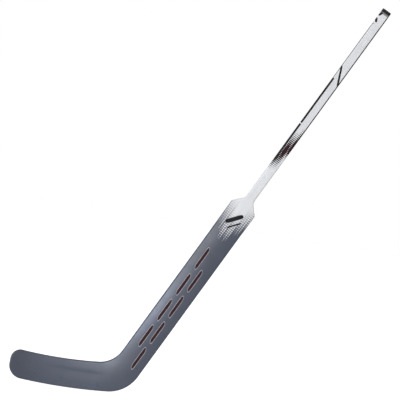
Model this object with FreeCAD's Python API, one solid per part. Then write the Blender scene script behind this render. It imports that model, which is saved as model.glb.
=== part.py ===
import FreeCAD, Part
import math
import os
from FreeCAD import Vector

# A senior hockey goalie stick of moulded composite, held as it is played.
# The sole touches the ice at the origin, +X runs from the toe to the heel and +Z is up.
# The toe curls forward, along -Y. Sizes are millimetres and degrees.

# Outline of the face
lie_angle = 117.0               # between the sole, on its toe side, and the shaft
paddle_length = 686.0           # up the back edge, from the ice to the shoulder corners
paddle_width = 87.0
shaft_length = 753.0            # from the shoulder corners to the end of the butt plug
shaft_width = 30.0
shoulder_angle = 42.0           # slope of a shoulder, from the line of the shaft
shoulder_corner_radius = 10.0
shoulder_hollow_radius = 24.0
neck_length = 26.0              # straight neck above the shoulders, up to the shaft joint
blade_length = 364.0            # along the ice, from the line of the back edge to the toe
blade_height = 88.0             # at the lowest point of the top edge
sole_contact = 199.0            # from the line of the back edge to where the sole touches the ice
sole_radius = 1620.0            # rocker of the sole
top_edge_low = 211.0            # from the line of the back edge to the top edge's lowest point
top_edge_radius = 1250.0
heel_radius = 109.0
crotch_radius = 84.0
toe_bottom_radius = 43.0
toe_top_radius = 30.0
toe_rake = 3.0                  # lean of the toe end, its top towards the heel

# Depth of the section
shaft_depth = 20.5
paddle_depth = 22.5             # over the crowns
heel_depth = 19.0
toe_depth = 11.6
paddle_crown = 3.6              # rise of a paddle face over its edges
crown_run = 130.0               # down from the shoulders, where the flat neck turns into the crowned paddle
heel_crown = 2.4
toe_crown = 0.6
curve_depth = 20.0              # how far the toe curls forward of the paddle
curve_power = 2.5               # how late along the blade the curl comes: 2 is an even bend
toe_twist = 3.0                 # how far the face is opened upwards at the toe
edge_radius = 4.5               # rounded rim all round, and the corners of the shaft

# Laminates and glue
skin_wall = 1.2
rim_wall = 3.1                  # laminate folded together at the rim
shaft_wall = 1.8
bond_gap = 0.15                 # glue line between two bonded pieces

# Inner pieces
tenon_in_shaft = 75.0           # length of the neck tenon above the shaft joint
tenon_in_paddle = 120.0
tenon_wall = 2.0
tenon_chamfer = 1.0
inner_corner = 1.0              # least rounding inside a hollow bar
stringer_thickness = 1.6
bridge_thickness = 2.0
heel_block_rise = 130.0         # top of the heel block, up the paddle from the ice
heel_block_reach = 75.0         # toe end of the heel block, from the line of the back edge
slot_depth = 38.0               # how far stringers and bridge are let into the heel block
toe_insert_length = 32.0

# Butt plug
plug_head = 10.5
plug_spigot = 42.0
plug_wall = 2.6
plug_clearance = 0.4            # between the spigot and the bore of the shaft, taken up by ribs
plug_edge = 1.6                 # bevel of the outer end
rib_width = 1.6
rib_place_share = 0.5           # place of the ribs on a wide side, of the spigot's half width

# Construction
overrun = 40.0                  # how far a cutting shape runs past what it cuts
envelope_share = 0.7            # half width of the faces before the outline trims them, of the paddle
rim_limit_share = 0.45          # most of the toe's edge that one rounded rim may take
paddle_steps = 17               # sections down the paddle, round the heel and along the blade
bend_steps = 3
blade_steps = 6
down_degree = 3                 # of the faces' curves, down the stick and across it
cross_degree = 2
end_on = 0.9                    # cosine above which an edge counts as running up the shaft

# Directions and reference places of the stick
lean = math.radians(180 - lie_angle)
along = Vector(math.cos(lean), 0, math.sin(lean))       # up the shaft
across = Vector(math.sin(lean), 0, -math.cos(lean))     # from the toe side to the heel side
front = Vector(0, -1, 0)
back = Vector(0, 1, 0)
up = Vector(0, 0, 1)
toeward = Vector(-1, 0, 0)
heel_point = Vector(sole_contact, 0, 0)
axis_foot = heel_point - across * (paddle_width / 2)
shoulder_top = paddle_length + (paddle_width - shaft_width) / 2 / math.tan(math.radians(shoulder_angle))
neck_top = shoulder_top + neck_length
butt_end = paddle_length + shaft_length
toe_end = sole_contact - blade_length
blade_middle = blade_height / 2
through = curve_depth + paddle_depth + overrun          # half the depth of a cutting prism
rim_radius = min(edge_radius, (toe_depth - 2 * toe_crown) * rim_limit_share)

# Places where the inner pieces meet
stringer_inside = shaft_width / 2 - rim_wall
stringer_outside = stringer_inside + stringer_thickness
tenon_bottom = neck_top - tenon_in_paddle
core_top = shoulder_top - shoulder_hollow_radius / 2
block_side = sole_contact - heel_block_reach
insert_side = toe_end + toe_insert_length


def on_stick(rise, side):
    """A point of the middle plane, up the shaft and towards the heel side."""
    return axis_foot + along * rise + across * side


# Outline of the face

def nearest_meeting(point, direction, centre, radius):
    """Where a line through a point meets a circle, at the meeting nearer to the point."""
    offset = point - centre
    half = offset.dot(direction)
    root = math.sqrt(half * half - offset.dot(offset) + radius * radius)
    return point + direction * min(-half - root, -half + root, key=abs)


def outline_corners(neck_end):
    """The sharp corners of the face, each with its rounding, from the heel by the toe to the neck."""
    half_paddle = paddle_width / 2
    half_shaft = shaft_width / 2
    sole_centre = up * sole_radius
    top_centre = Vector(sole_contact - top_edge_low, 0, blade_height + top_edge_radius)
    rake = math.radians(toe_rake)
    toe_line = Vector(math.sin(rake), 0, math.cos(rake))
    toe_face = Vector(toe_end, 0, blade_middle)
    front_edge = on_stick(blade_height, -half_paddle)
    return [
        (nearest_meeting(heel_point, along, sole_centre, sole_radius), heel_radius),
        (nearest_meeting(toe_face, toe_line, sole_centre, sole_radius), toe_bottom_radius),
        (nearest_meeting(toe_face, toe_line, top_centre, top_edge_radius), toe_top_radius),
        (nearest_meeting(front_edge, along, top_centre, top_edge_radius), crotch_radius),
        (on_stick(paddle_length, -half_paddle), shoulder_corner_radius),
        (on_stick(shoulder_top, -half_shaft), shoulder_hollow_radius),
        (on_stick(neck_end, -half_shaft), 0),
        (on_stick(neck_end, half_shaft), 0),
        (on_stick(shoulder_top, half_shaft), shoulder_hollow_radius),
        (on_stick(paddle_length, half_paddle), shoulder_corner_radius),
    ]


def prism(wire):
    """A wire drawn on the middle plane, run right through the stick."""
    face = Part.Face(wire)
    face.translate(front * through)
    return face.extrude(back * (2 * through))


def plate(corners):
    """A straight-sided prism on some corners of the middle plane."""
    return prism(Part.makePolygon(corners + corners[:1]))


def upright_edge(solid, place):
    """The edge of a prism that stands at a corner of its plan."""
    def miss(edge):
        return max(math.hypot(end.X - place.x, end.Z - place.z) for end in edge.Vertexes)
    return min(solid.Edges, key=miss)


def outline_prism(inset, neck_end):
    """The face outline, with its rockers and rounded corners, moved in by an inset."""
    corners = outline_corners(neck_end)
    low_points = {0: Vector(0, 0, 0), 2: Vector(sole_contact - top_edge_low, 0, blade_height)}
    edges = []
    for index, (corner, radius) in enumerate(corners):
        following = corners[(index + 1) % len(corners)][0]
        if index in low_points:
            edges.append(Part.Arc(corner, low_points[index], following).toShape())
        else:
            edges.append(Part.LineSegment(corner, following).toShape())
    solid = prism(Part.Wire(edges))
    for corner, radius in corners:
        if radius:
            solid = solid.makeFillet(radius, [upright_edge(solid, corner)])
    if inset:
        front_face = min(solid.Faces, key=lambda face: face.CenterOfMass.y)
        wire = front_face.OuterWire.makeOffset2D(-inset)
        wire.translate(back * through)
        solid = prism(wire)
    return solid


# The two crowned faces

def blended(start, end, share):
    """A smooth step from one value to another."""
    share = min(max(share, 0), 1)
    return start + (end - start) * share * share * (3 - 2 * share)


def stations():
    """Sections from above the neck to past the toe: place, side direction, depth, crown, forward curl and twist."""
    bend_radius = (heel_radius + crotch_radius) / 2
    bend_reach = bend_radius * math.tan(lean / 2)
    corner_rise = (blade_middle - axis_foot.z) / along.z
    bend_top = corner_rise + bend_reach
    bend_centre = on_stick(bend_top, -bend_radius)
    blade_start = on_stick(corner_rise, 0) + toeward * bend_reach
    crown_end = shoulder_top - crown_run
    paddle_start = neck_top + 2 * overrun
    rows = []

    # the neck has the section of the shaft; below the shoulders the faces crown, then the paddle thins
    for step in range(paddle_steps + 1):
        rise = paddle_start + (bend_top - paddle_start) * step / paddle_steps
        crowned = (shoulder_top - rise) / crown_run
        thinned = 2 * (crown_end - rise) / (crown_end - bend_top) - 1
        depth = blended(shaft_depth, paddle_depth, crowned) + blended(0, heel_depth - paddle_depth, thinned)
        crown = blended(0, paddle_crown, crowned) + blended(0, heel_crown - paddle_crown, thinned)
        rows.append((on_stick(rise, 0), across, depth, crown, 0, 0))

    # the heel turns about one centre
    for step in range(1, bend_steps):
        turned = lean * (1 - step / bend_steps)
        side = Vector(math.sin(turned), 0, -math.cos(turned))
        rows.append((bend_centre + side * bend_radius, side, heel_depth, heel_crown, 0, 0))

    # the blade thins, flattens, curls forward and opens towards the toe, and runs on past it
    for step in range(blade_steps + 3):
        share = step / blade_steps
        place = blade_start + toeward * ((blade_start.x - toe_end) * share)
        depth = heel_depth + (toe_depth - heel_depth) * share
        crown = heel_crown + (toe_crown - heel_crown) * share
        bend = share ** curve_power
        rows.append((place, -up, depth, crown, curve_depth * bend, toe_twist * bend))
    return rows


def sheet(level, inset):
    """A spline sheet on the sections' poles: level 1 is the front face, 0 the middle and -1 the rear face."""
    half_width = paddle_width * envelope_share
    poles = []
    for place, side, depth, crown, forward, twist in stations():
        reach = side * half_width
        opened = front * (half_width * math.tan(math.radians(twist)))
        sag = front * (level * crown * (half_width / (paddle_width / 2)) ** 2)
        middle = place + front * (forward + level * (depth / 2 - inset))
        poles.append([middle - reach - opened - sag, middle + sag, middle + reach + opened - sag])
    inner_knots = len(poles) - down_degree - 1
    down_knots = list(range(inner_knots + 2))
    down_counts = [down_degree + 1] + [1] * inner_knots + [down_degree + 1]
    cross_counts = [cross_degree + 1, cross_degree + 1]
    surface = Part.BSplineSurface()
    surface.buildFromPolesMultsKnots(
        poles, down_counts, cross_counts, down_knots, [0, 1], False, False, down_degree, cross_degree)
    return surface.toShape()


def rim_edges(solid):
    """The edges where the two faces meet the rim, without those round the end of the neck."""
    edges = []
    for face in sorted(solid.Faces, key=lambda face: face.Area)[-2:]:
        for edge in face.OuterWire.Edges:
            rises = [(vertex.Point - axis_foot).dot(along) for vertex in edge.Vertexes]
            if min(rises) < neck_top - bond_gap:
                edges.append(edge)
    return edges


def square_body(rim_inset, face_inset, neck_end):
    """Paddle, heel and blade in one square-edged form, moved in at the rim and at the faces."""
    ahead = sheet(1, face_inset).extrude(front * (2 * through))
    behind = sheet(-1, face_inset).extrude(back * (2 * through))
    return outline_prism(rim_inset, neck_end).cut(ahead).cut(behind).Solids[0]


def moulded_body():
    """The outer form, with its rim rounded."""
    body = square_body(0, 0, neck_top)
    return body.makeFillet(rim_radius, rim_edges(body))


# Skins

def skins():
    """The moulded shell, open at the neck, in its two halves."""
    shell = moulded_body().cut(square_body(rim_wall, skin_wall, neck_top + overrun / 2))
    behind = sheet(0, 0).extrude(back * (2 * through))
    return shell.cut(behind), shell.common(behind)


# Inner pieces of paddle and blade

def band(low_side, high_side, low_rise, high_rise):
    """A cutting plate square to the shaft."""
    return plate([
        on_stick(low_rise, low_side), on_stick(low_rise, high_side),
        on_stick(high_rise, high_side), on_stick(high_rise, low_side),
    ])


def slab(low_x, high_x, low_z, high_z):
    """A cutting plate square to the ice."""
    return plate([
        Vector(low_x, 0, low_z), Vector(high_x, 0, low_z),
        Vector(high_x, 0, high_z), Vector(low_x, 0, high_z),
    ])


def paddle_pieces(room):
    """Three foam cores with two stringers between them, whose feet are let into the heel block."""
    foot = heel_block_rise - slot_depth
    core_foot = heel_block_rise + bond_gap
    core_inside = stringer_inside - bond_gap
    core_outside = stringer_outside + bond_gap
    edge = paddle_width
    return {
        "paddle_centre_core": room.common(band(-core_inside, core_inside, core_foot, tenon_bottom - bond_gap)),
        "paddle_toe_side_core": room.common(band(-edge, -core_outside, core_foot, core_top)),
        "paddle_heel_side_core": room.common(band(core_outside, edge, core_foot, core_top)),
        "toe_side_stringer": room.common(band(-stringer_outside, -stringer_inside, foot, core_top)),
        "heel_side_stringer": room.common(band(stringer_inside, stringer_outside, foot, core_top)),
    }


def blade_pieces(room):
    """Two foam cores with a bridge between them, and a plug that closes the toe."""
    half_bridge = bridge_thickness / 2
    core_heel = block_side - bond_gap
    core_toe = insert_side + bond_gap
    below = -overrun
    above = blade_height + overrun
    return {
        "blade_bridge": room.common(
            slab(core_toe, block_side + slot_depth, blade_middle - half_bridge, blade_middle + half_bridge)),
        "blade_upper_core": room.common(
            slab(core_toe, core_heel, blade_middle + half_bridge + bond_gap, above)),
        "blade_lower_core": room.common(
            slab(core_toe, core_heel, below, blade_middle - half_bridge - bond_gap)),
        "toe_insert": room.common(slab(toe_end - overrun, insert_side, below, above)),
    }


def heel_block(room):
    """The dense block at the heel, slotted for the stringers and the bridge."""
    block = room.cut(band(-blade_length, paddle_width, heel_block_rise, butt_end))
    block = block.cut(slab(toe_end - overrun, block_side, -overrun, blade_height + overrun))
    foot = heel_block_rise - slot_depth - bond_gap
    inside = stringer_inside - bond_gap
    outside = stringer_outside + bond_gap
    half_bridge = bridge_thickness / 2 + bond_gap
    for slot in (
        band(-outside, -inside, foot, heel_block_rise + overrun),
        band(inside, outside, foot, heel_block_rise + overrun),
        slab(block_side - overrun, block_side + slot_depth + bond_gap,
             blade_middle - half_bridge, blade_middle + half_bridge),
    ):
        block = block.cut(slot)
    return block


# Shaft, tenon and plug

def shaft_bar(side_inset, face_inset, low_rise, high_rise):
    """A length of the shaft's rounded rectangle, moved in at its narrow sides and at its faces."""
    half_width = shaft_width / 2 - side_inset
    deep = back * (shaft_depth / 2 - face_inset)
    left, right = on_stick(low_rise, -half_width), on_stick(low_rise, half_width)
    corners = [left - deep, right - deep, right + deep, left + deep]
    bar = Part.Face(Part.makePolygon(corners + corners[:1])).extrude(along * (high_rise - low_rise))
    long_edges = [edge for edge in bar.Edges if abs(edge.tangentAt(edge.FirstParameter).dot(along)) > end_on]
    return bar.makeFillet(max(rim_radius - max(side_inset, face_inset), inner_corner), long_edges)


def end_edges(bar, rise):
    """The edges of a bar that lie at one rise."""
    return [edge for edge in bar.Edges
            if all(abs((vertex.Point - axis_foot).dot(along) - rise) < bond_gap for vertex in edge.Vertexes)]


def shaft_tube():
    outside = shaft_bar(0, 0, neck_top, butt_end - plug_head)
    return outside.cut(shaft_bar(shaft_wall, shaft_wall, neck_top - overrun, butt_end + overrun))


def neck_tenon():
    """A hollow bar, stepped where it leaves the paddle's neck for the shaft, with chamfered ends."""
    top = neck_top + tenon_in_shaft
    lower = shaft_bar(rim_wall + bond_gap, skin_wall + bond_gap, tenon_bottom, neck_top)
    lower = lower.makeChamfer(tenon_chamfer, end_edges(lower, tenon_bottom))
    upper = shaft_bar(shaft_wall + bond_gap, shaft_wall + bond_gap, neck_top, top)
    upper = upper.makeChamfer(tenon_chamfer, end_edges(upper, top))
    side_inset = max(rim_wall, shaft_wall) + bond_gap + tenon_wall
    face_inset = max(skin_wall, shaft_wall) + bond_gap + tenon_wall
    return lower.fuse(upper).cut(shaft_bar(side_inset, face_inset, tenon_bottom - overrun, top + overrun))


def spigot_ribs(foot, seat):
    """Lengthwise ribs that grip the bore: two on each wide side of the spigot and one on each narrow side."""
    wide = shaft_width / 2 - shaft_wall
    deep = shaft_depth / 2 - shaft_wall
    on_wide = (wide - plug_clearance) * rib_place_share
    places = [(across * sign * on_wide, back * face * deep, across) for sign in (-1, 1) for face in (-1, 1)]
    places += [(Vector(0, 0, 0), across * sign * wide, back) for sign in (-1, 1)]
    ribs = []
    for place, reach, sideways in places:
        inner = reach * ((reach.Length - plug_clearance - plug_wall / 2) / reach.Length)
        start = on_stick(foot, 0) + place
        half = sideways * (rib_width / 2)
        corners = [start + inner - half, start + reach - half, start + reach + half, start + inner + half]
        ribs.append(Part.Face(Part.makePolygon(corners + corners[:1])).extrude(along * (seat - foot)))
    return ribs


def end_plug():
    """A head as wide as the shaft on a hollow ribbed spigot that is pressed into the bore."""
    seat = butt_end - plug_head
    foot = seat - plug_spigot
    spigot_inset = shaft_wall + plug_clearance
    head = shaft_bar(0, 0, seat, butt_end)
    head = head.makeChamfer(plug_edge, end_edges(head, butt_end))
    spigot = shaft_bar(spigot_inset, spigot_inset, foot, seat)
    spigot = spigot.fuse(spigot_ribs(foot + plug_wall, seat))
    pocket_inset = spigot_inset + plug_wall
    pocket = shaft_bar(pocket_inset, pocket_inset, foot - overrun, seat - plug_wall)
    return head.fuse(spigot).cut(pocket)


def all_pieces():
    room = square_body(rim_wall + bond_gap, skin_wall + bond_gap, neck_top)
    front_skin, back_skin = skins()
    pieces = {
        "front_skin": front_skin,
        "back_skin": back_skin,
        "shaft_tube": shaft_tube(),
        "neck_tenon": neck_tenon(),
        "end_plug": end_plug(),
        "heel_block": heel_block(room),
    }
    pieces.update(paddle_pieces(room))
    pieces.update(blade_pieces(room))
    return pieces


os.makedirs("parts", exist_ok=True)
for name, shape in all_pieces().items():
    print(name, shape.isValid(), len(shape.Solids), round(shape.Volume))
    shape.exportStep("parts/" + name + ".step")
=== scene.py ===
import bpy
import bmesh
import math
import numpy as np
from mathutils import Matrix, Vector


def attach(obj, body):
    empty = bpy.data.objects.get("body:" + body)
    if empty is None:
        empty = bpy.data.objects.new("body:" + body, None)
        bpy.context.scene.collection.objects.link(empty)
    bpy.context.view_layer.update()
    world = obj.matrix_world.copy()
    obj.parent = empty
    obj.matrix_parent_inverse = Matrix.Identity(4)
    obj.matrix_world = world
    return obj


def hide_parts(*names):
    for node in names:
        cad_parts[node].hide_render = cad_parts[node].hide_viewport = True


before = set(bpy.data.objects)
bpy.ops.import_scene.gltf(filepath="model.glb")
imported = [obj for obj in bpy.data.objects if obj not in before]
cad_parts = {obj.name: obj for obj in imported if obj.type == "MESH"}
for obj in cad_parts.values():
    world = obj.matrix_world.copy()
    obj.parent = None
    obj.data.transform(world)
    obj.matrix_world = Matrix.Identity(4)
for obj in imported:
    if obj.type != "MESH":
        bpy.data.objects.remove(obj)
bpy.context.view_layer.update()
scene = bpy.context.scene
scene.view_settings.view_transform = "Standard"
print("frame loaded with", len(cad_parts), "nodes")

mm = 0.001      # the sizes below are millimetres and degrees, the meshes are metres

# The stick's face, in the frame's own place: sole on the ice at the origin, toe at -X, front at -Y
stick = {
    "lie": 117.0,
    "paddleLength": 686.0,
    "paddleWidth": 87.0,
    "shaftLength": 753.0,
    "shaftWidth": 30.0,
    "shaftDepth": 20.5,
    "rimRadius": 4.5,            # round the rim, and on the shaft's corners
    "shoulderSlope": 42.0,
    "neckLength": 26.0,
    "bladeLength": 364.0,
    "bladeHeight": 88.0,
    "soleContact": 199.0,        # from the heel to where the sole touches the ice
    "soleRadius": 1620.0,
    "topEdgeLow": 211.0,         # from the heel to where the blade's top edge is lowest
    "topEdgeRadius": 1250.0,
    "toeRake": 3.0,
    "neckRadius": 24.0,
    "cornerRadius": 10.0,
    "crotchRadius": 84.0,
    "heelRadius": 109.0,
    "toeTopRadius": 30.0,
    "toeBottomRadius": 43.0,
}

# Directions and places on the plane of the face, as (x, z) pairs
lean = math.radians(180 - stick["lie"])
along = np.array([math.cos(lean), math.sin(lean)])       # up the shaft
across = np.array([math.sin(lean), -math.cos(lean)])     # from the toe side to the heel side
halfPaddle = stick["paddleWidth"] / 2
halfShaft = stick["shaftWidth"] / 2
heelPoint = np.array([stick["soleContact"], 0.0])
axisFoot = heelPoint - across * halfPaddle
shoulderLength = (halfPaddle - halfShaft) / math.tan(math.radians(stick["shoulderSlope"]))
shoulderTop = stick["paddleLength"] + shoulderLength
neckTop = shoulderTop + stick["neckLength"]
buttEnd = stick["paddleLength"] + stick["shaftLength"]
toeEnd = stick["soleContact"] - stick["bladeLength"]
bladeMiddle = stick["bladeHeight"] / 2


def onStick(rise, side):
    # foot of the shaft's axis + rise times the way up + side times the way across
    return axisFoot + np.multiply.outer(rise, along) + np.multiply.outer(side, across)


def placeOnStick(plan):
    # the way back: rise and side of points (x, z)
    return (plan - axisFoot) @ along, (plan - axisFoot) @ across


# Outline of the face

outlineSteps = {"neck": 3, "hollow": 8, "shoulder": 6, "corner": 8, "edge": 70,
                "bend": 32, "long": 60, "toe": 18}


def unit(vectors):
    # each vector over its own length
    return vectors / np.linalg.norm(vectors, axis=-1, keepdims=True)


def rounding(line, other, radius):
    # Both curves move into the body by the radius (out of it where it is negative) and cross at the centre.
    # Gives the centre and the touching points on the line and on the other curve.
    point = line["point"] + line["inward"] * radius
    run = line["run"]
    if "centre" in other:
        offset = point - other["centre"]
        reach = other["radius"] - other["bodyIn"] * radius
        half = offset @ run
        root = math.sqrt(half * half - offset @ offset + reach * reach)
        centre = point + run * min(-half - root, -half + root, key=abs)
        touch = other["centre"] + unit(centre - other["centre"]) * other["radius"]
    else:
        gap = other["point"] + other["inward"] * radius - point
        centre = point + run * ((gap @ other["inward"]) / (run @ other["inward"]))
        touch = centre - other["inward"] * radius
    return centre, centre - line["inward"] * radius, touch


def straightRun(start, end, inward, steps):
    # start + share of the way to the end, with one inward direction
    share = np.linspace(0, 1, steps + 1)[:, None]
    return start + (end - start) * share, np.repeat(inward[None], steps + 1, 0)


def arcRun(centre, start, end, bodyIn, steps):
    # centre + radius times (cosine, sine) of the angle, the short way round; inward is to or from the centre
    first, last = (math.atan2(*(point - centre)[::-1]) for point in (start, end))
    turn = (last - first + math.pi) % (2 * math.pi) - math.pi
    angle = first + turn * np.linspace(0, 1, steps + 1)
    spoke = np.stack([np.cos(angle), np.sin(angle)], 1)
    return centre + spoke * np.linalg.norm(start - centre), -bodyIn * spoke


def sideOutline(sign, longEdge, bendRadius, toeRadius):
    # One side of the face, from the neck down to the toe: straight runs and one long arc, joined by tangent
    # roundings.
    rake = math.radians(stick["toeRake"])
    slope = math.radians(stick["shoulderSlope"])
    outward = sign * across
    down = -along * math.cos(slope) + outward * math.sin(slope)
    neck = {"point": onStick(neckTop, sign * halfShaft), "run": along, "inward": -outward}
    shoulder = {"point": onStick(shoulderTop, sign * halfShaft), "run": down,
                "inward": -outward * math.cos(slope) - along * math.sin(slope)}
    edge = {"point": onStick(stick["bladeHeight"] if sign < 0 else 0, sign * halfPaddle),
            "run": along, "inward": -outward}
    toe = {"point": np.array([toeEnd, bladeMiddle]), "run": np.array([math.sin(rake), math.cos(rake)]),
           "inward": np.array([math.cos(rake), -math.sin(rake)])}
    hollow, hollowTop, hollowFoot = rounding(neck, shoulder, -stick["neckRadius"])
    corner, cornerFoot, cornerTop = rounding(edge, shoulder, stick["cornerRadius"])
    bend, bendTop, bendFoot = rounding(edge, longEdge, bendRadius)
    toeCorner, toeFoot, toeTop = rounding(toe, longEdge, toeRadius)
    steps = outlineSteps
    runs = [
        straightRun(neck["point"], hollowTop, neck["inward"], steps["neck"]),
        arcRun(hollow, hollowTop, hollowFoot, -1, steps["hollow"]),
        straightRun(hollowFoot, cornerTop, shoulder["inward"], steps["shoulder"]),
        arcRun(corner, cornerTop, cornerFoot, 1, steps["corner"]),
        straightRun(cornerFoot, bendTop, edge["inward"], steps["edge"]),
        arcRun(bend, bendTop, bendFoot, math.copysign(1, bendRadius), steps["bend"]),
        arcRun(longEdge["centre"], bendFoot, toeTop, longEdge["bodyIn"], steps["long"]),
        arcRun(toeCorner, toeTop, toeFoot, 1, steps["toe"]),
    ]
    # each run after the first leaves out its first point, which the run before it ends on
    points = np.concatenate([run[0][bool(index):] for index, run in enumerate(runs)])
    inward = np.concatenate([run[1][bool(index):] for index, run in enumerate(runs)])
    return points, inward


topEdge = {"centre": np.array([stick["soleContact"] - stick["topEdgeLow"],
                               stick["bladeHeight"] + stick["topEdgeRadius"]]),
           "radius": stick["topEdgeRadius"], "bodyIn": -1}
sole = {"centre": np.array([0.0, stick["soleRadius"]]), "radius": stick["soleRadius"], "bodyIn": 1}
toeSide = sideOutline(-1, topEdge, -stick["crotchRadius"], stick["toeTopRadius"])
heelSide = sideOutline(1, sole, stick["heelRadius"], stick["toeBottomRadius"])
print("outline of", len(toeSide[0]), "stations from neck to toe")


# Meshes

welding = {"distance": 0.002, "sliver": 0.001, "sharpAngle": 40}


def boundaryEdges(mesh):
    # an edge that only one face uses
    used = np.zeros(len(mesh.loops), np.int32)
    mesh.loops.foreach_get("edge_index", used)
    return np.bincount(used, minlength=len(mesh.edges)) == 1


def meshPiece(name, grids):
    # Each grid is (points, paint places, turned): neighbours in rows and columns become quads, turned over
    # where asked; the grids are welded into one mesh and keep their paint places.
    points, paint, quads, start = [], [], [], 0
    for place, paintPlace, turned in grids:
        rows, columns = place.shape[:2]
        index = start + np.arange(rows * columns).reshape(rows, columns)
        corners = [index[:-1, :-1], index[1:, :-1], index[1:, 1:], index[:-1, 1:]]
        quads.append(np.stack(corners[::-1] if turned else corners, -1).reshape(-1, 4))
        points.append(place.reshape(-1, 3) * mm)
        paint.append(paintPlace.reshape(-1, 3))
        start += rows * columns
    mesh = bpy.data.meshes.new(name)
    mesh.from_pydata(np.concatenate(points), [], np.concatenate(quads))
    mesh.attributes.new("paintPlace", "FLOAT_VECTOR", "POINT").data.foreach_set(
        "vector", np.concatenate(paint).ravel().astype(np.float32))
    work = bmesh.new()
    work.from_mesh(mesh)
    bmesh.ops.remove_doubles(work, verts=work.verts, dist=welding["distance"] * mm)
    bmesh.ops.dissolve_degenerate(work, edges=work.edges, dist=welding["sliver"] * mm)
    work.to_mesh(mesh)
    work.free()
    mesh.shade_smooth()
    mesh.set_sharp_from_angle(angle=math.radians(welding["sharpAngle"]))
    sharp = np.zeros(len(mesh.edges), bool)
    mesh.edges.foreach_get("use_edge_sharp", sharp)
    mesh.edges.foreach_set("use_edge_sharp", sharp | boundaryEdges(mesh))     # a wall's edge stays crisp
    piece = bpy.data.objects.new(name, mesh)
    scene.collection.objects.link(piece)
    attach(piece, "root")
    return piece


def addWall(piece, thickness):
    # the sheet is the outer surface; the wall grows inwards
    wall = piece.modifiers.new("wall", "SOLIDIFY")
    wall.thickness = thickness * mm
    wall.offset = -1


# Skins of the paddle, heel and blade

skin = {
    "paddle": {"depth": 22.5, "crown": 3.6},
    "heel": {"depth": 19.0, "crown": 2.4},
    "toe": {"depth": 11.6, "crown": 0.6},
    "crownRun": 130.0,           # the crown grows over this length below the shoulders
    "toeCurl": 20.0,
    "curlPower": 2.5,
    "toeTwist": 3.0,
    "hollowDepth": 0.8,          # a faint hollow moulded along the blade
    "hollowPlace": -9.0,         # above the blade's middle line
    "hollowAbove": 7.5,          # widths of its upper and lower flanks
    "hollowBelow": 22.0,
    "hollowLead": 35.0,          # it eases in from this far before the blade
    "hollowEase": 70.0,
    "hollowEndShare": 0.75,      # and fades out along the blade
    "hollowFadeShare": 0.4,
    "wall": 1.2,
    "wallRows": 3,
    "roundRows": 8,
    "faceColumns": 30,
}


def smoothStep(share):
    # share squared times (3 - 2 share), held at 0 and 1
    share = np.clip(share, 0, 1)
    return share * share * (3 - 2 * share)


def faceForm(plan):
    # Middle surface and half depth at points (x, z) of the face. The half depth is half the section's depth
    # less the crown times the square of the place across. Depth and crown go from the neck's to the paddle's,
    # over the lower half of the paddle to the heel's, and along the blade to the toe's. The hollow is a bell
    # with one flank broader than the other. The middle surface curls forward and turns with a power of the
    # way along.
    bendRadius = (stick["heelRadius"] + stick["crotchRadius"]) / 2
    bendReach = bendRadius * math.tan(lean / 2)
    cornerRise = (bladeMiddle - axisFoot[1]) / along[1]
    bendTop = cornerRise + bendReach
    bendCentre = onStick(bendTop, -bendRadius)
    bladeStart = onStick(cornerRise, 0)[0] - bendReach
    crownEnd = shoulderTop - skin["crownRun"]
    x, z = plan[..., 0], plan[..., 1]
    rise, side = placeOnStick(plan)
    crownShare = smoothStep((shoulderTop - rise) / skin["crownRun"])
    thinShare = smoothStep(2 * (crownEnd - rise) / (crownEnd - bendTop) - 1)
    bladeShare = np.clip((bladeStart - x) / (bladeStart - toeEnd), 0, None)
    depth, crown = stick["shaftDepth"], 0.0
    for stretch, share in (("paddle", crownShare), ("heel", thinShare), ("toe", bladeShare)):
        depth = depth + (skin[stretch]["depth"] - depth) * share
        crown = crown + (skin[stretch]["crown"] - crown) * share
    around = np.linalg.norm(plan - bendCentre, axis=-1) - bendRadius
    place = np.where(rise > bendTop, side, np.where(x < bladeStart, bladeMiddle - z, around))
    below = place - skin["hollowPlace"]
    bell = np.exp(-(below / np.where(below > 0, skin["hollowBelow"], skin["hollowAbove"])) ** 2)
    bell = bell * smoothStep((bladeStart + skin["hollowLead"] - x) / skin["hollowEase"])
    bell = bell * smoothStep((skin["hollowEndShare"] - bladeShare) / skin["hollowFadeShare"])
    half = depth / 2 - crown * (place / halfPaddle) ** 2 - skin["hollowDepth"] * bell
    curled = bladeShare ** skin["curlPower"]
    middle = -curled * skin["toeCurl"] - place * np.tan(np.radians(skin["toeTwist"]) * curled)
    return middle, half


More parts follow.
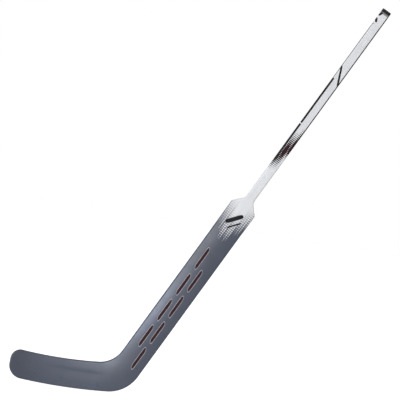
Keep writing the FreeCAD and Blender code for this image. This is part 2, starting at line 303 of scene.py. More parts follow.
def skinSheet(name, facing):
    # A profile carried down the stick: from the rim's middle up its wall, round the rim, over the crowned
    # face and down the other rim. The rim's quarter circle is measured in from the outline, square to it.
    radius = stick["rimRadius"]
    turn = np.linspace(0, math.pi / 2, skin["roundRows"] + 1)
    low = np.linspace(0, 1, skin["wallRows"] + 1)[:-1]
    inset = np.concatenate([0 * low, radius * (1 - np.cos(turn))])
    rimRise = np.concatenate([0 * low, radius * np.sin(turn)])
    wallShare = np.concatenate([low, np.ones_like(turn)])
    rimPlace = np.concatenate([low - 1, turn * 2 / math.pi])      # -1 to 0 up the wall, 0 to 1 round the rim
    (toePoints, toeInward), (heelPoints, heelInward) = toeSide, heelSide
    toeRim = toePoints[:, None] + toeInward[:, None] * inset[:, None]
    heelRim = heelPoints[:, None] + heelInward[:, None] * inset[::-1, None]
    share = np.linspace(0, 1, skin["faceColumns"] + 1)[1:-1, None]
    inner = toeRim[:, -1:] + (heelRim[:, :1] - toeRim[:, -1:]) * share
    plan = np.concatenate([toeRim, inner, heelRim], 1)
    flat = np.ones(inner.shape[1])

    def raised(plan, wallShare, rimRise, rimPlace):
        # middle surface + the way that the skin faces times (share of the wall's height + rise round the rim)
        middle, half = faceForm(plan)
        height = wallShare * (half - radius) + rimRise
        points = np.stack([plan[..., 0], middle + facing * height, plan[..., 1]], -1)
        rise, side = placeOnStick(plan)
        return points, np.stack([rise, side, np.broadcast_to(rimPlace, rise.shape)], -1)

    face = raised(plan, np.concatenate([wallShare, flat, wallShare[::-1]]),
                  np.concatenate([rimRise, flat * radius, rimRise[::-1]]),
                  np.concatenate([rimPlace, flat, rimPlace[::-1]]))
    # the toe's end: the same rim, carried from the last row of the face straight out to the toe line
    lastRow = plan[-1, len(inset) - 1:len(plan[-1]) - len(inset) + 1]
    toeRun = lastRow[:, None] + toeInward[-1] * (inset - radius)[::-1, None]
    toe = raised(toeRun, wallShare[::-1], rimRise[::-1], rimPlace[::-1])
    turned = facing > 0
    piece = meshPiece(name, [(*face, turned), (*(part.swapaxes(0, 1) for part in toe), turned)])
    addWall(piece, skin["wall"])
    return piece


frontSkin = skinSheet("front_skin_painted", -1)
backSkin = skinSheet("back_skin_painted", 1)
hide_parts("front_skin")
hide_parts("back_skin")
print("skins made")


# Shaft and butt plug

bar = {"wall": 1.8, "leastRadius": 1.0, "cornerSteps": 8, "wideSteps": 8, "deepSteps": 4, "lengthSteps": 60}
plug = {
    "head": 10.5,
    "edge": 1.6,
    "dome": 0.5,
    "spigot": 42.0,
    "clearance": 0.4,
    "lead": 1.0,                 # the spigot's foot tapers over this length to this share of its size
    "leadShare": 0.94,
    "sideSteps": 4,
    "edgeSteps": 6,
    "domeSteps": 5,
}
plugSeat = buttEnd - plug["head"]


def barRing(inset):
    # A rounded rectangle, its corners quarter circles, as (side, y): one half, the same half with both signs
    # changed, and the first point again.
    radius = max(stick["rimRadius"] - inset, bar["leastRadius"])
    wide, deep = halfShaft - inset - radius, stick["shaftDepth"] / 2 - inset - radius
    turn = np.linspace(0, math.pi / 2, bar["cornerSteps"] + 1)
    narrowRun = np.linspace(-deep, deep, bar["deepSteps"] + 1)[1:-1]
    wideRun = np.linspace(wide, -wide, bar["wideSteps"] + 1)[1:-1]
    half = np.concatenate([
        np.stack([wide + radius + 0 * narrowRun, narrowRun], 1),
        np.stack([wide + radius * np.cos(turn), deep + radius * np.sin(turn)], 1),
        np.stack([wideRun, deep + radius + 0 * wideRun], 1),
        np.stack([-wide - radius * np.sin(turn), deep + radius * np.cos(turn)], 1),
    ])
    return np.concatenate([half, -half, half[:1]])


def barPoints(rings, rises, scales):
    # each ring, shrunk to its scale about the axis, set square to the shaft at its rise
    side, depth = np.moveaxis(rings * scales[:, None, None], -1, 0)
    rise = np.broadcast_to(rises[:, None], side.shape)
    plan = onStick(rise, side)
    points = np.stack([plan[..., 0], depth, plan[..., 1]], -1)
    return points, np.stack([rise, side, 0 * side], -1)


def shaftSheet():
    # one rounded rectangle carried straight up the shaft
    rises = np.linspace(neckTop, plugSeat, bar["lengthSteps"] + 1)
    rings = np.repeat(barRing(0)[None], len(rises), 0)
    points, paint = barPoints(rings, rises, np.ones(len(rises)))
    piece = meshPiece("shaft_painted", [(points, paint, True)])
    addWall(piece, bar["wall"])
    return piece


def plugSolid():
    # Rings from the closed foot of the spigot, out to the seat, up the head and round its edge to the domed
    # end: the edge is a quarter circle, the dome falls by the square of the way out.
    foot = plugSeat - plug["spigot"]
    spigotInset = bar["wall"] + plug["clearance"]
    turn = np.linspace(0, math.pi / 2, plug["edgeSteps"] + 1)[1:]
    share = np.linspace(0, 1, plug["domeSteps"] + 1)[1:]
    headSide = np.linspace(plugSeat, buttEnd - plug["edge"] - plug["dome"], plug["sideSteps"] + 1)
    stretches = [      # insets, rises and scales of each
        (np.full(4, spigotInset), np.array([foot, foot, foot + plug["lead"], plugSeat]),
         np.array([0, plug["leadShare"], 1, 1])),
        (0 * headSide, headSide, 0 * headSide + 1),
        (plug["edge"] * (1 - np.cos(turn)), headSide[-1] + plug["edge"] * np.sin(turn), 0 * turn + 1),
        (0 * share + plug["edge"], buttEnd - plug["dome"] * (1 - share) ** 2, 1 - share),
    ]
    insets, rises, scales = (np.concatenate(parts) for parts in zip(*stretches))
    rings = np.stack([barRing(inset) for inset in insets])
    points, paint = barPoints(rings, rises, scales)
    return meshPiece("butt_plug", [(points, paint, True)])


shaft = shaftSheet()
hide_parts("shaft_tube")
buttPlug = plugSolid()
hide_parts("end_plug")
print("shaft and plug made")


# Materials

noiseSpan = (0.3, 0.7)           # nearly all of a noise lies between these


def perMetre(size):
    # how many of a size in mm go into a metre
    return 1 / (size * mm)


def hexColour(code):
    # sRGB hex to linear: a straight line for the darkest values, a power of 2.4 for the rest
    values = [int(code[place:place + 2], 16) / 255 for place in (1, 3, 5)]
    return [v / 12.92 if v <= 0.04045 else ((v + 0.055) / 1.055) ** 2.4 for v in values] + [1.0]


def addNode(tree, kind, inputs=(), **settings):
    # One node: settings are its properties, inputs its values or the sockets that it takes them from, in
    # order or by name or number. A Mix of colours has its colours on 6 and 7 and gives output 2.
    node = tree.nodes.new("ShaderNode" + kind)
    for name, value in settings.items():
        setattr(node, name, value)
    for place, value in inputs.items() if isinstance(inputs, dict) else enumerate(inputs):
        value = value.outputs[0] if isinstance(value, bpy.types.Node) else value
        if isinstance(value, bpy.types.NodeSocket):
            tree.links.new(value, node.inputs[place])
        else:
            node.inputs[place].default_value = value
    return node


def newMaterial(name):
    # a material with an empty node tree
    material = bpy.data.materials.new(name)
    material.use_nodes = True
    material.node_tree.nodes.clear()
    return material, material.node_tree


def paintPlace(tree):
    # rise up the stick and side across it in mm, and how far round the rim a place is
    place = addNode(tree, "Attribute", attribute_name="paintPlace")
    return addNode(tree, "SeparateXYZ", (place.outputs["Vector"],)).outputs


def between(tree, value, low, high):
    # 1 from the low place to the high one, 0 outside
    over = addNode(tree, "Math", (value, low), operation="GREATER_THAN")
    under = addNode(tree, "Math", (value, high), operation="LESS_THAN")
    return addNode(tree, "Math", (over, under), operation="MULTIPLY")


def joined(tree, operation, *masks):
    # the masks one after another: multiplied, 1 where all of them are; the maximum, 1 where any of them is
    result = masks[0]
    for mask in masks[1:]:
        result = addNode(tree, "Math", (result, mask), operation=operation)
    return result


def pillMask(tree, flank, run, halfWidth, halfLength):
    # 1 inside a bar with rounded ends: (flank / half width) squared + (run / half length) to the eighth is
    # under 1
    wide = addNode(tree, "Math", (flank, halfWidth), operation="DIVIDE")
    wide = addNode(tree, "Math", (wide, 2.0), operation="POWER")
    far = addNode(tree, "Math", (run, halfLength), operation="DIVIDE")
    far = addNode(tree, "Math", (far, 8.0), operation="POWER")
    reach = addNode(tree, "Math", (wide, far), operation="ADD")
    return addNode(tree, "Math", (reach, 1.0), operation="LESS_THAN")


def slantedPill(tree, place, mark):
    # a bar with rounded ends, centred and turned on the face
    slant = math.radians(mark["slant"])
    turned = addNode(tree, "Mapping", {"Vector": place, "Location": (*mark["centre"], 0),
                                       "Rotation": (0, 0, slant)}, vector_type="TEXTURE")
    turned = addNode(tree, "VectorMath", (turned,), operation="ABSOLUTE")
    run, flank = addNode(tree, "SeparateXYZ", (turned,)).outputs[:2]
    return pillMask(tree, flank, run, mark["width"] / 2, mark["length"] / 2)


def paintOver(tree, ground, layers):
    # each layer's colour goes over the one before it where its mask is 1
    for mask, code in layers:
        ground = addNode(tree, "Mix", {0: mask, 6: ground, 7: hexColour(code)}, data_type="RGBA").outputs[2]
    return ground


lacquer = {
    "grey": "#4a4f5b",
    "white": "#d4d5d7",
    "dotWhiteAndNeckLight": "#d9dadc",       # the fade's printed dots; on the shaft, painted light: the white is this much lighter at the neck
    # painted shade: a dark grey for the rim's rounding, where it turns from the light
    "rimShadeGrey": "#34373e",
    "black": "#0b0a0c",
    "burgundy": "#25080f",
    "pinLine": "#aeabaf",
    # a grey for printed lines and marks on the shaft, and for a band of painted shade under the plug's head
    "greyPrintAndShade": "#7e8083",
    "ior": 1.5,
    "specular": 0.2,
    "roughness": (0.27, 0.33),
    "hazeSize": 20.83,
    "inkRoughness": 0.75,         # the printing is matt
    "cloud": (0.95, 1.05),        # how far the sprayed tone drifts
    "cloudSize": 62.5,
    "peelSize": 2.381,
    "peelDepth": 0.05,
    "peelStrength": 0.12,
}


def lacquerCoat(tree, colour, ink):
    # Satin two-part polyurethane: an even sheen with faint clouds in the tone and a fine orange peel.
    spot = addNode(tree, "TexCoord").outputs["Object"]
    clouds = addNode(tree, "TexNoise", {"Vector": spot, "Scale": perMetre(lacquer["cloudSize"]),
                                        "Detail": 3.0})
    drift = addNode(tree, "MapRange", (clouds, *noiseSpan, *lacquer["cloud"]))
    colour = addNode(tree, "Mix", {0: 1.0, 6: colour, 7: drift}, data_type="RGBA",
                     blend_type="MULTIPLY").outputs[2]
    haze = addNode(tree, "TexNoise", {"Vector": spot, "Scale": perMetre(lacquer["hazeSize"]), "Detail": 4.0})
    dull = addNode(tree, "MapRange", (haze, *noiseSpan, *lacquer["roughness"]))
    if ink:
        dull = addNode(tree, "Mix", {0: ink, 2: dull, 3: lacquer["inkRoughness"]})
    peel = addNode(tree, "TexNoise", {"Vector": spot, "Scale": perMetre(lacquer["peelSize"]), "Detail": 2.0})
    bump = addNode(tree, "Bump", {"Strength": lacquer["peelStrength"], "Distance": lacquer["peelDepth"] * mm,
                                  "Height": peel})
    shader = addNode(tree, "BsdfPrincipled", {"Base Color": colour, "Roughness": dull, "IOR": lacquer["ior"],
                                              "Specular IOR Level": lacquer["specular"], "Normal": bump})
    addNode(tree, "OutputMaterial", {"Surface": shader})


fade = {
    "pitch": 6.6,                # drawn a little coarser than print, so that the dots show
    "squash": 0.9,               # the dots are a little wider than they are tall
    "start": 560.0,
    "latest": 602.0,
    "centreSide": -2.5,
    "bow": 0.046,
    "run": 104.0,
    "streakPitch": 20.3,
    "streakSide": -1.4,
    "streakHalf": 3.2,
    "streakLate": 34.0,
}


def fadeMask(tree, rise, side):
    # Halftone of white dots on the grey: a dot fills as much of its cell as the way up the fade. The fade
    # starts lowest near the middle of the face, later by the square of the side from there, up to a latest
    # start, and later again on even streaks.
    off = addNode(tree, "Math", (side, fade["centreSide"]), operation="SUBTRACT")
    bow = addNode(tree, "Math", (off, off), operation="MULTIPLY")
    start = addNode(tree, "Math", (bow, fade["bow"], fade["start"]), operation="MULTIPLY_ADD")
    start = addNode(tree, "Math", (start, fade["latest"]), operation="MINIMUM")
    off = addNode(tree, "Math", (side, fade["streakSide"]), operation="SUBTRACT")
    off = addNode(tree, "Math", (off, fade["streakPitch"] / 2), operation="PINGPONG")
    late = addNode(tree, "MapRange", (off, 0.0, fade["streakHalf"], fade["streakLate"], 0.0))
    start = addNode(tree, "Math", (start, late), operation="ADD")
    way = addNode(tree, "Math", (rise, start), operation="SUBTRACT")
    way = addNode(tree, "Math", (way, fade["run"]), operation="DIVIDE")
    row = addNode(tree, "Math", (rise, fade["pitch"] / 2), operation="PINGPONG")
    column = addNode(tree, "Math", (side, fade["pitch"] / 2), operation="PINGPONG")
    column = addNode(tree, "Math", (column, fade["squash"]), operation="MULTIPLY")
    dot = addNode(tree, "Math", (row, column), operation="MAXIMUM")
    dot = addNode(tree, "Math", (dot, fade["pitch"] / 2), operation="DIVIDE")
    dot = addNode(tree, "Math", (dot, 2.0), operation="POWER")
    return addNode(tree, "Math", (dot, way), operation="LESS_THAN")


paddleMarks = {
    "row": 11.5,                  # the two rows of dashes, to the sides of the middle line
    "first": 108.0, "period": 98.0, "count": 4, "slant": 0.9,
    "width": 9.0, "length": 76.0, "outline": 1.3,
    "bars": ({"centre": (643.0, -3.0), "slant": 38.0, "width": 13.0, "length": 58.0},
             {"centre": (625.0, 7.0), "slant": 38.0, "width": 4.8, "length": 46.0}),
}


def paddleDashes(tree, rise, side, margin):
    # Two rows of slanted dashes, the second half a period on: rise + slant times side, wrapped at the period.
    period = paddleMarks["period"]
    sign = addNode(tree, "Math", (side,), operation="SIGN")
    place = addNode(tree, "Math", (side, paddleMarks["slant"], rise), operation="MULTIPLY_ADD")
    place = addNode(tree, "Math", (sign, period / 4, place), operation="MULTIPLY_ADD")
    place = addNode(tree, "Math", (place, paddleMarks["first"]), operation="SUBTRACT")
    wrapped = addNode(tree, "Math", (place, period), operation="FLOORED_MODULO")
    run = addNode(tree, "Math", (wrapped, period / 2), operation="SUBTRACT")
    run = addNode(tree, "Math", (run,), operation="ABSOLUTE")
    flank = addNode(tree, "Math", (side,), operation="ABSOLUTE")
    flank = addNode(tree, "Math", (flank, paddleMarks["row"]), operation="SUBTRACT")
    flank = addNode(tree, "Math", (flank,), operation="ABSOLUTE")
    inside = between(tree, place, 0.0, period * paddleMarks["count"])
    dash = pillMask(tree, flank, run, paddleMarks["width"] / 2 + margin, paddleMarks["length"] / 2 + margin)
    return joined(tree, "MULTIPLY", inside, dash)


skinPaint = {
    "toeShadeTone": 0.9,               # painted shade: the share of the grey at the toe
    # painted light: the grey is lightened to this share along the blade
    "bladeLightTone": 1.23,
    "bladeX": -30.0,              # where the blade's tone is reached
    "heelShadeTone": 0.82,             # painted shade: what is left of it past the heel, eased in between these x
    "heelX": (100.0, 250.0),
    "rimShadeReach": 0.36,              # how far round the rim the painted shade comes
}


def skinLacquer(name, marked):
    # Sprayed polyurethane lacquer of the paddle and blade: grey, dotted over into white at the shoulders,
    # with a dark line of painted shade round the rim and, on the front, printed dashes. The grey carries
    # painted
    # light and shade too: darker at the toe, lighter along the blade, darker again past the heel.
    material, tree = newMaterial(name)
    rise, side, rim = paintPlace(tree)
    place = addNode(tree, "CombineXYZ", (rise, side))
    x = addNode(tree, "SeparateXYZ", (addNode(tree, "TexCoord").outputs["Object"],)).outputs[0]
    # painted light and shade along x: the grey darker at the toe, lighter along the blade, darker past the
    # heel
    blade = addNode(tree, "MapRange", (x, toeEnd * mm, skinPaint["bladeX"] * mm,
                                       skinPaint["toeShadeTone"], skinPaint["bladeLightTone"]),
                    interpolation_type="SMOOTHSTEP")
    heelX = [end * mm for end in skinPaint["heelX"]]
    heel = addNode(tree, "MapRange", (x, *heelX, 1.0, skinPaint["heelShadeTone"]), interpolation_type="SMOOTHSTEP")
    tone = addNode(tree, "Math", (blade, heel), operation="MULTIPLY")
    # painted shade: a dark line over the rim's rounding below the shoulders, where the rim turns from the
    # light
    rimShade = addNode(tree, "Math", (rim, skinPaint["rimShadeReach"]), operation="LESS_THAN")
    onPaddle = addNode(tree, "Math", (rise, stick["paddleLength"]), operation="LESS_THAN")
    rimShade = joined(tree, "MULTIPLY", rimShade, onPaddle)
    ground = [(fadeMask(tree, rise, side), lacquer["dotWhiteAndNeckLight"]), (rimShade, lacquer["rimShadeGrey"])]
    inks = []
    if marked:
        inks += [(paddleDashes(tree, rise, side, paddleMarks["outline"]), lacquer["pinLine"]),
                 (paddleDashes(tree, rise, side, 0.0), lacquer["burgundy"])]
        inks += [(slantedPill(tree, place, mark), lacquer["black"]) for mark in paddleMarks["bars"]]
    ink = joined(tree, "MAXIMUM", *(mask for mask, code in inks)) if inks else None
    grey = addNode(tree, "Mix", {0: 1.0, 6: hexColour(lacquer["grey"]), 7: tone}, data_type="RGBA",
                   blend_type="MULTIPLY").outputs[2]
    lacquerCoat(tree, paintOver(tree, grey, ground + inks), ink)
    return material


shaftMarks = {
    "neckLightEnd": 1150.0,          # painted light: the shaft's white is lighter at the neck and falls to the plain white up to here
    "barPitch": 5.5,
    "lobes": (                    # foot and top: no ink to full ink
        {"side": -11.5, "half": 8.5, "foot": (829.0, 882.0), "top": (918.0, 874.0)},
        {"side": -1.0, "half": 10.5, "foot": (834.0, 908.0), "top": (978.0, 900.0)},
        {"side": 12.5, "half": 9.0, "foot": (880.0, 914.0), "top": (998.0, 930.0)},
    ),
    "fullInk": 1.5,
    "burgundySide": -6.0, "burgundyRise": (866.0, 956.0),
    "toeLine": {"rise": (862.0, 1174.0), "side": -8.9, "gap": (1000.3, 1004.0)},
    "heelLine": {"rise": (911.0, 1439.0), "side": 11.8},
    "thinLine": {"rise": (1174.0, 1376.0), "side": -12.7},
    # the grey end band is painted shade under the plug's head
    "endBands": {"greyPrintAndShade": (1421.8, 1427.5), "black": (1427.5, 1429.0)},
    "pinstripe": {"centre": (1189.1, -0.3), "slant": 156.1, "width": 6.0, "length": 70.0},
    "chips": ({"centre": (1418.6, -11.1), "slant": 24.0, "width": 7.0, "length": 15.0},
              {"centre": (1396.0, -11.2), "slant": -28.0, "width": 7.0, "length": 15.5}),
    "greyChip": {"centre": (1381.0, -13.0), "slant": 20.0, "width": 3.0, "length": 8.0},
}


def burstMask(tree, rise, side):
    # Halftone of bars across the shaft: a bar fills as much of its row as the ink's share there. The share
    # climbs and falls along each lobe and drops to its sides by the square of the distance.
    shares = []
    for lobe in shaftMarks["lobes"]:
        climb = addNode(tree, "MapRange", (rise, *lobe["foot"]))
        fall = addNode(tree, "MapRange", (rise, *lobe["top"]))
        off = addNode(tree, "Math", (side, lobe["side"]), operation="SUBTRACT")
        off = addNode(tree, "Math", (off, lobe["half"]), operation="DIVIDE")
        off = addNode(tree, "Math", (off, 2.0), operation="POWER")
        drop = addNode(tree, "Math", (1.0, off), operation="SUBTRACT")
        share = addNode(tree, "Math", (climb, fall), operation="MULTIPLY")
        shares.append(addNode(tree, "Math", (share, drop), operation="MULTIPLY"))
    halfPitch = shaftMarks["barPitch"] / 2
    row = addNode(tree, "Math", (rise, halfPitch), operation="PINGPONG")
    row = addNode(tree, "Math", (row, halfPitch * shaftMarks["fullInk"]), operation="DIVIDE")
    return addNode(tree, "Math", (row, joined(tree, "MAXIMUM", *shares)), operation="LESS_THAN")


def edgeLine(tree, rise, side, line):
    # a line that wraps one narrow side of the shaft and its corners
    reached = addNode(tree, "Math", (side, line["side"]),
                      operation="LESS_THAN" if line["side"] < 0 else "GREATER_THAN")
    return joined(tree, "MULTIPLY", reached, between(tree, rise, *line["rise"]))


def shaftLacquer():
    # The same lacquer in white, printed with edge lines and a burst of halftone bars above the neck. Painted
    # light makes the white lighter near the neck, and a grey band of painted shade lies under the plug's
    # head.
    material, tree = newMaterial("sprayed_polyurethane_lacquer_white")
    rise, side = paintPlace(tree)[:2]
    place = addNode(tree, "CombineXYZ", (rise, side))
    # painted light: the white lighter at the neck, fading to the plain white further up
    neckLightFade = addNode(tree, "MapRange", (rise, neckTop, shaftMarks["neckLightEnd"]))
    white = paintOver(tree, hexColour(lacquer["dotWhiteAndNeckLight"]), [(neckLightFade, lacquer["white"])])
    bars = burstMask(tree, rise, side)
    warm = addNode(tree, "Math", (side, shaftMarks["burgundySide"]), operation="GREATER_THAN")
    warm = joined(tree, "MULTIPLY", warm, between(tree, rise, *shaftMarks["burgundyRise"]))
    toeLine = edgeLine(tree, rise, side, shaftMarks["toeLine"])
    gap = between(tree, rise, *shaftMarks["toeLine"]["gap"])
    layers = [
        (bars, lacquer["black"]),
        (joined(tree, "MULTIPLY", bars, warm), lacquer["burgundy"]),
        (edgeLine(tree, rise, side, shaftMarks["thinLine"]), lacquer["greyPrintAndShade"]),
        (slantedPill(tree, place, shaftMarks["pinstripe"]), lacquer["black"]),
        (toeLine, lacquer["black"]),
        (joined(tree, "MULTIPLY", toeLine, gap), lacquer["white"]),
        (edgeLine(tree, rise, side, shaftMarks["heelLine"]), lacquer["black"]),
        (slantedPill(tree, place, shaftMarks["greyChip"]), lacquer["greyPrintAndShade"]),
    ]
    # the end bands: painted shade in grey under the plug's head, then black up to the seat
    layers += [(between(tree, rise, *band), lacquer[ink]) for ink, band in shaftMarks["endBands"].items()]
    layers += [(slantedPill(tree, place, chip), lacquer["burgundy"]) for chip in shaftMarks["chips"]]
    ink = joined(tree, "MAXIMUM", *(mask for mask, code in layers if code != lacquer["white"]))
    lacquerCoat(tree, paintOver(tree, white, layers), ink)
    return material


rubber = {"black": "#08080a", "worn": "#131315", "patchSize": 11.11, "patch": (0.42, 0.68),
          "grainSize": 0.6667, "grainDepth": 0.05, "grainStrength": 0.3, "roughness": (0.5, 0.66),
          "ior": 1.5, "specular": 0.15}


def rubberMaterial():
    # Thermoplastic rubber moulded in an etched tool: near black, matt, with a fine grain and duller rubbed
    # patches.
    material, tree = newMaterial("moulded_thermoplastic_rubber")
    spot = addNode(tree, "TexCoord").outputs["Object"]
    rubbed = addNode(tree, "TexNoise", {"Vector": spot, "Scale": perMetre(rubber["patchSize"]),
                                        "Detail": 4.0})
    patch = addNode(tree, "MapRange", (rubbed, *rubber["patch"]))
    colour = paintOver(tree, hexColour(rubber["black"]), [(patch, rubber["worn"])])
    dull = addNode(tree, "MapRange", (rubbed, *noiseSpan, *rubber["roughness"]))
    grain = addNode(tree, "TexNoise", {"Vector": spot, "Scale": perMetre(rubber["grainSize"]), "Detail": 1.0})
    bump = addNode(tree, "Bump", {"Strength": rubber["grainStrength"], "Distance": rubber["grainDepth"] * mm,
                                  "Height": grain})
    shader = addNode(tree, "BsdfPrincipled", {"Base Color": colour, "Roughness": dull, "IOR": rubber["ior"],
                                              "Specular IOR Level": rubber["specular"], "Normal": bump})
    addNode(tree, "OutputMaterial", {"Surface": shader})
    return material


foams = {
    "closed_cell_foam": {"wall": "#d9cfae", "cell": "#bfb38d", "cellSize": 1.111, "roughness": 0.9},
    "syntactic_foam": {"wall": "#8d938f", "cell": "#6f7673", "cellSize": 0.4, "roughness": 0.75},
}
foamCells = {"wallShare": (0.02, 0.16), "depth": 0.3, "strength": 0.5, "ior": 1.5}


def foamMaterial(name):
    # Expanded foam, sawn: small closed cells with paler walls, and no gloss.
    material, tree = newMaterial(name)
    foam = foams[name]
    spot = addNode(tree, "TexCoord").outputs["Object"]
    cells = addNode(tree, "TexVoronoi", {"Vector": spot, "Scale": perMetre(foam["cellSize"])},
                    feature="DISTANCE_TO_EDGE")
    hollow = addNode(tree, "MapRange", (cells, *foamCells["wallShare"]))
    colour = paintOver(tree, hexColour(foam["wall"]), [(hollow, foam["cell"])])
    bump = addNode(tree, "Bump", {"Strength": foamCells["strength"], "Distance": foamCells["depth"] * mm,
                                  "Height": cells}, invert=True)
    shader = addNode(tree, "BsdfPrincipled", {"Base Color": colour, "Roughness": foam["roughness"],
                                              "IOR": foamCells["ior"], "Normal": bump})
    addNode(tree, "OutputMaterial", {"Surface": shader})
    return material


twill = {"tow": "#141517", "gap": "#08090a", "towWidth": 2.0, "towDepth": 0.1, "towStrength": 0.4,
         "roughness": (0.28, 0.5), "ior": 1.52}


def carbonMaterial():
    # Carbon twill laminate, pressed: near-black tows 2 mm wide that step over one another along the diagonal.
    material, tree = newMaterial("carbon_twill_laminate")
    spot = addNode(tree, "SeparateXYZ", (addNode(tree, "TexCoord").outputs["Object"],)).outputs
    x, z = spot["X"], spot["Z"]
    tow = twill["towWidth"] * mm
    level = addNode(tree, "Math", (x, z), operation="ADD")
    over = addNode(tree, "Math", (level, 2 * tow), operation="PINGPONG")
    over = addNode(tree, "Math", (over, tow), operation="GREATER_THAN")
    ridges = [addNode(tree, "Math", (place, tow / 2), operation="PINGPONG") for place in (x, z)]
    ridge = addNode(tree, "Mix", {0: over, 2: ridges[0], 3: ridges[1]})
    ridge = addNode(tree, "Math", (ridge, tow / 2), operation="DIVIDE")
    colour = paintOver(tree, hexColour(twill["gap"]), [(ridge, twill["tow"])])
    dull = addNode(tree, "MapRange", (over, 0.0, 1.0, *twill["roughness"]))
    bump = addNode(tree, "Bump", {"Strength": twill["towStrength"], "Distance": twill["towDepth"] * mm,
                                  "Height": ridge})
    shader = addNode(tree, "BsdfPrincipled", {"Base Color": colour, "Roughness": dull, "IOR": twill["ior"],
                                              "Normal": bump})
    addNode(tree, "OutputMaterial", {"Surface": shader})
    return material


urethane = {"clear": "#b48a4c", "deep": "#8a6430", "streakSize": 16.67, "streakBend": 0.8, "streakDepth": 0.2,
            "streakStrength": 0.1, "roughness": 0.32, "ior": 1.5}


def urethaneMaterial():
    # Cast urethane: amber, waxy, with slow streaks from the pour.
    material, tree = newMaterial("cast_urethane")
    spot = addNode(tree, "TexCoord").outputs["Object"]
    streaks = addNode(tree, "TexNoise", {"Vector": spot, "Scale": perMetre(urethane["streakSize"]),
                                         "Detail": 3.0, "Distortion": urethane["streakBend"]})
    colour = paintOver(tree, hexColour(urethane["deep"]), [(streaks, urethane["clear"])])
    bump = addNode(tree, "Bump", {"Strength": urethane["streakStrength"],
                                  "Distance": urethane["streakDepth"] * mm, "Height": streaks})
    shader = addNode(tree, "BsdfPrincipled", {"Base Color": colour, "Roughness": urethane["roughness"],
                                              "IOR": urethane["ior"], "Normal": bump})
    addNode(tree, "OutputMaterial", {"Surface": shader})
    return material


frontSkin.data.materials.append(skinLacquer("sprayed_polyurethane_lacquer_front", True))
backSkin.data.materials.append(skinLacquer("sprayed_polyurethane_lacquer_back", False))
shaft.data.materials.append(shaftLacquer())
buttPlug.data.materials.append(rubberMaterial())

# the pieces inside keep their solids and take their own materials
innerPieces = [
    (foamMaterial("closed_cell_foam"), ("paddle_centre_core", "paddle_toe_side_core", "paddle_heel_side_core",
                                        "blade_upper_core", "blade_lower_core")),
    (foamMaterial("syntactic_foam"), ("heel_block",)),
    (carbonMaterial(), ("neck_tenon", "toe_side_stringer", "heel_side_stringer", "blade_bridge")),
    (urethaneMaterial(), ("toe_insert",)),
]
for material, names in innerPieces:
    for name in names:
        for slot in bpy.data.objects[name].material_slots:
            slot.link = "OBJECT"
            slot.material = material
print("materials made")


# Studio

studio = {
    "floorHalf": 60000.0,
    "floorColour": "#e6e6e6",
    "white": "#ffffff",
    "floorGlow": 0.78,            # what is seen of the white over the floor's own light and shadow
    "ambient": 0.095,
    "lamps": {
        "key": {"from": (-0.871, -0.275, 0.407), "level": 0.28, "spread": 40, "colour": "#dfeaff"},
        "softbox": {"from": (-0.279, -0.941, 0.191), "level": 0.755, "spread": 30, "colour": "#ffffff"},
        "strip": {"at": (8.0, -800.0, 316.0), "aimRise": 335.0, "size": 200.0, "beam": 58, "level": 0.16,
                  "colour": "#cfdcff"},
        "fill": {"from": (0.97, -0.20, 0.12), "level": 0.20, "spread": 40, "colour": "#fff4e6",
                 "gloss": False},
        "rear": {"from": (0.35, 0.90, 0.25), "level": 0.70, "spread": 40, "colour": "#ffffff"},
    },
}


def seenRays(tree):
    # 1 for rays that show the background itself: from the camera, off gloss or through glass
    rays = addNode(tree, "LightPath").outputs
    kinds = ("Is Camera Ray", "Is Glossy Ray", "Is Transmission Ray")
    return joined(tree, "MAXIMUM", *(rays[kind] for kind in kinds))


def floorSheet():
    # one flat square under the sole
    half = studio["floorHalf"] * mm
    mesh = bpy.data.meshes.new("floor")
    corners = [(-half, -half, 0), (half, -half, 0), (half, half, 0), (-half, half, 0)]
    mesh.from_pydata(corners, [], [(0, 1, 2, 3)])
    floor = bpy.data.objects.new("floor", mesh)
    scene.collection.objects.link(floor)
    material, tree = newMaterial("white_paper_sweep")
    paper = addNode(tree, "BsdfDiffuse", {"Color": hexColour(studio["floorColour"])})
    level = addNode(tree, "Math", (seenRays(tree), studio["floorGlow"]), operation="MULTIPLY")
    glow = addNode(tree, "Emission", {"Color": hexColour(studio["white"]), "Strength": level})
    addNode(tree, "OutputMaterial", {"Surface": addNode(tree, "AddShader", (paper, glow))})
    material.cycles.emission_sampling = "NONE"       # the glow is seen, and lights nothing
    mesh.materials.append(material)


def worldLight():
    # white where it is seen, dim where it lights
    world = bpy.data.worlds.new("studio")
    scene.world = world
    world.use_nodes = True
    tree = world.node_tree
    tree.nodes.clear()
    level = addNode(tree, "MapRange", (seenRays(tree), 0.0, 1.0, studio["ambient"], 1.0))
    glow = addNode(tree, "Background", {"Color": hexColour(studio["white"]), "Strength": level})
    addNode(tree, "OutputWorld", {"Surface": glow})


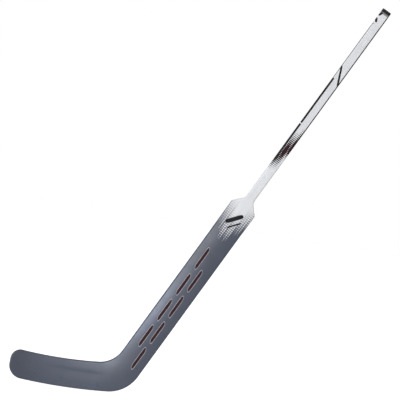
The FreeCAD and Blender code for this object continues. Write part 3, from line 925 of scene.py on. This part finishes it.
def addLamps():
    # Broad soft lamps, far off, light the whole stick evenly; the fill rakes over its edges and shows in no
    # gloss. The strip is near and held to a narrow beam low on the paddle: it is linked to the front skin and
    # shows in its gloss alone.
    for name, values in studio["lamps"].items():
        near = "at" in values
        lamp = bpy.data.lights.new(name, "AREA" if near else "SUN")
        lamp.energy = values["level"] * math.pi
        lamp.color = hexColour(values["colour"])[:3]
        lampObject = bpy.data.objects.new(name, lamp)
        scene.collection.objects.link(lampObject)
        if near:
            x, z = onStick(values["aimRise"], 0)
            away = Vector(values["at"]) - Vector((x, 0, z))
            lamp.size = values["size"] * mm
            lamp.spread = math.radians(values["beam"])
            lampObject.location = Vector(values["at"]) * mm
            lampObject.visible_diffuse = False
            lampObject.visible_camera = False
            receivers = bpy.data.collections.new(name + "_receivers")
            receivers.objects.link(frontSkin)
            lampObject.light_linking.receiver_collection = receivers
        else:
            away = Vector(values["from"])
            lamp.angle = math.radians(values["spread"])
            lampObject.visible_glossy = values.get("gloss", True)
        lampObject.rotation_euler = away.to_track_quat("Z", "Y").to_euler()


floorSheet()
worldLight()
addLamps()


# Camera: face on, a long lens, rolled as the photograph was

view = {"lens": 250.0, "sensor": 36.0, "pixels": 400, "millimetresPerPixel": 3.08, "roll": 9.085,
        "solePixel": (59.9, 386.35), "clipEnd": 1000000.0}


def addCamera():
    # far enough back that the picture is as many millimetres wide as its pixels say, with the sole's contact
    # on its own pixel
    data = bpy.data.cameras.new("camera")
    data.lens = view["lens"]
    data.sensor_width = view["sensor"]
    data.clip_end = view["clipEnd"] * mm
    camera = bpy.data.objects.new("camera", data)
    scene.collection.objects.link(camera)
    roll = math.radians(view["roll"])
    right = np.array([math.cos(roll), 0, math.sin(roll)])
    up = np.array([-math.sin(roll), 0, math.cos(roll)])
    scale = view["millimetresPerPixel"] * mm
    middle = view["pixels"] / 2
    centre = right * (middle - view["solePixel"][0]) * scale + up * (view["solePixel"][1] - middle) * scale
    frontFace = -skin["paddle"]["depth"] / 2 * mm
    distance = view["pixels"] * scale * view["lens"] / view["sensor"]
    place = centre + np.array([0, frontFace - distance, 0])
    turn = Matrix((right, up, (0, -1, 0))).transposed()
    camera.matrix_world = Matrix.Translation(place) @ turn.to_4x4()
    scene.camera = camera


addCamera()
print("studio and camera set")
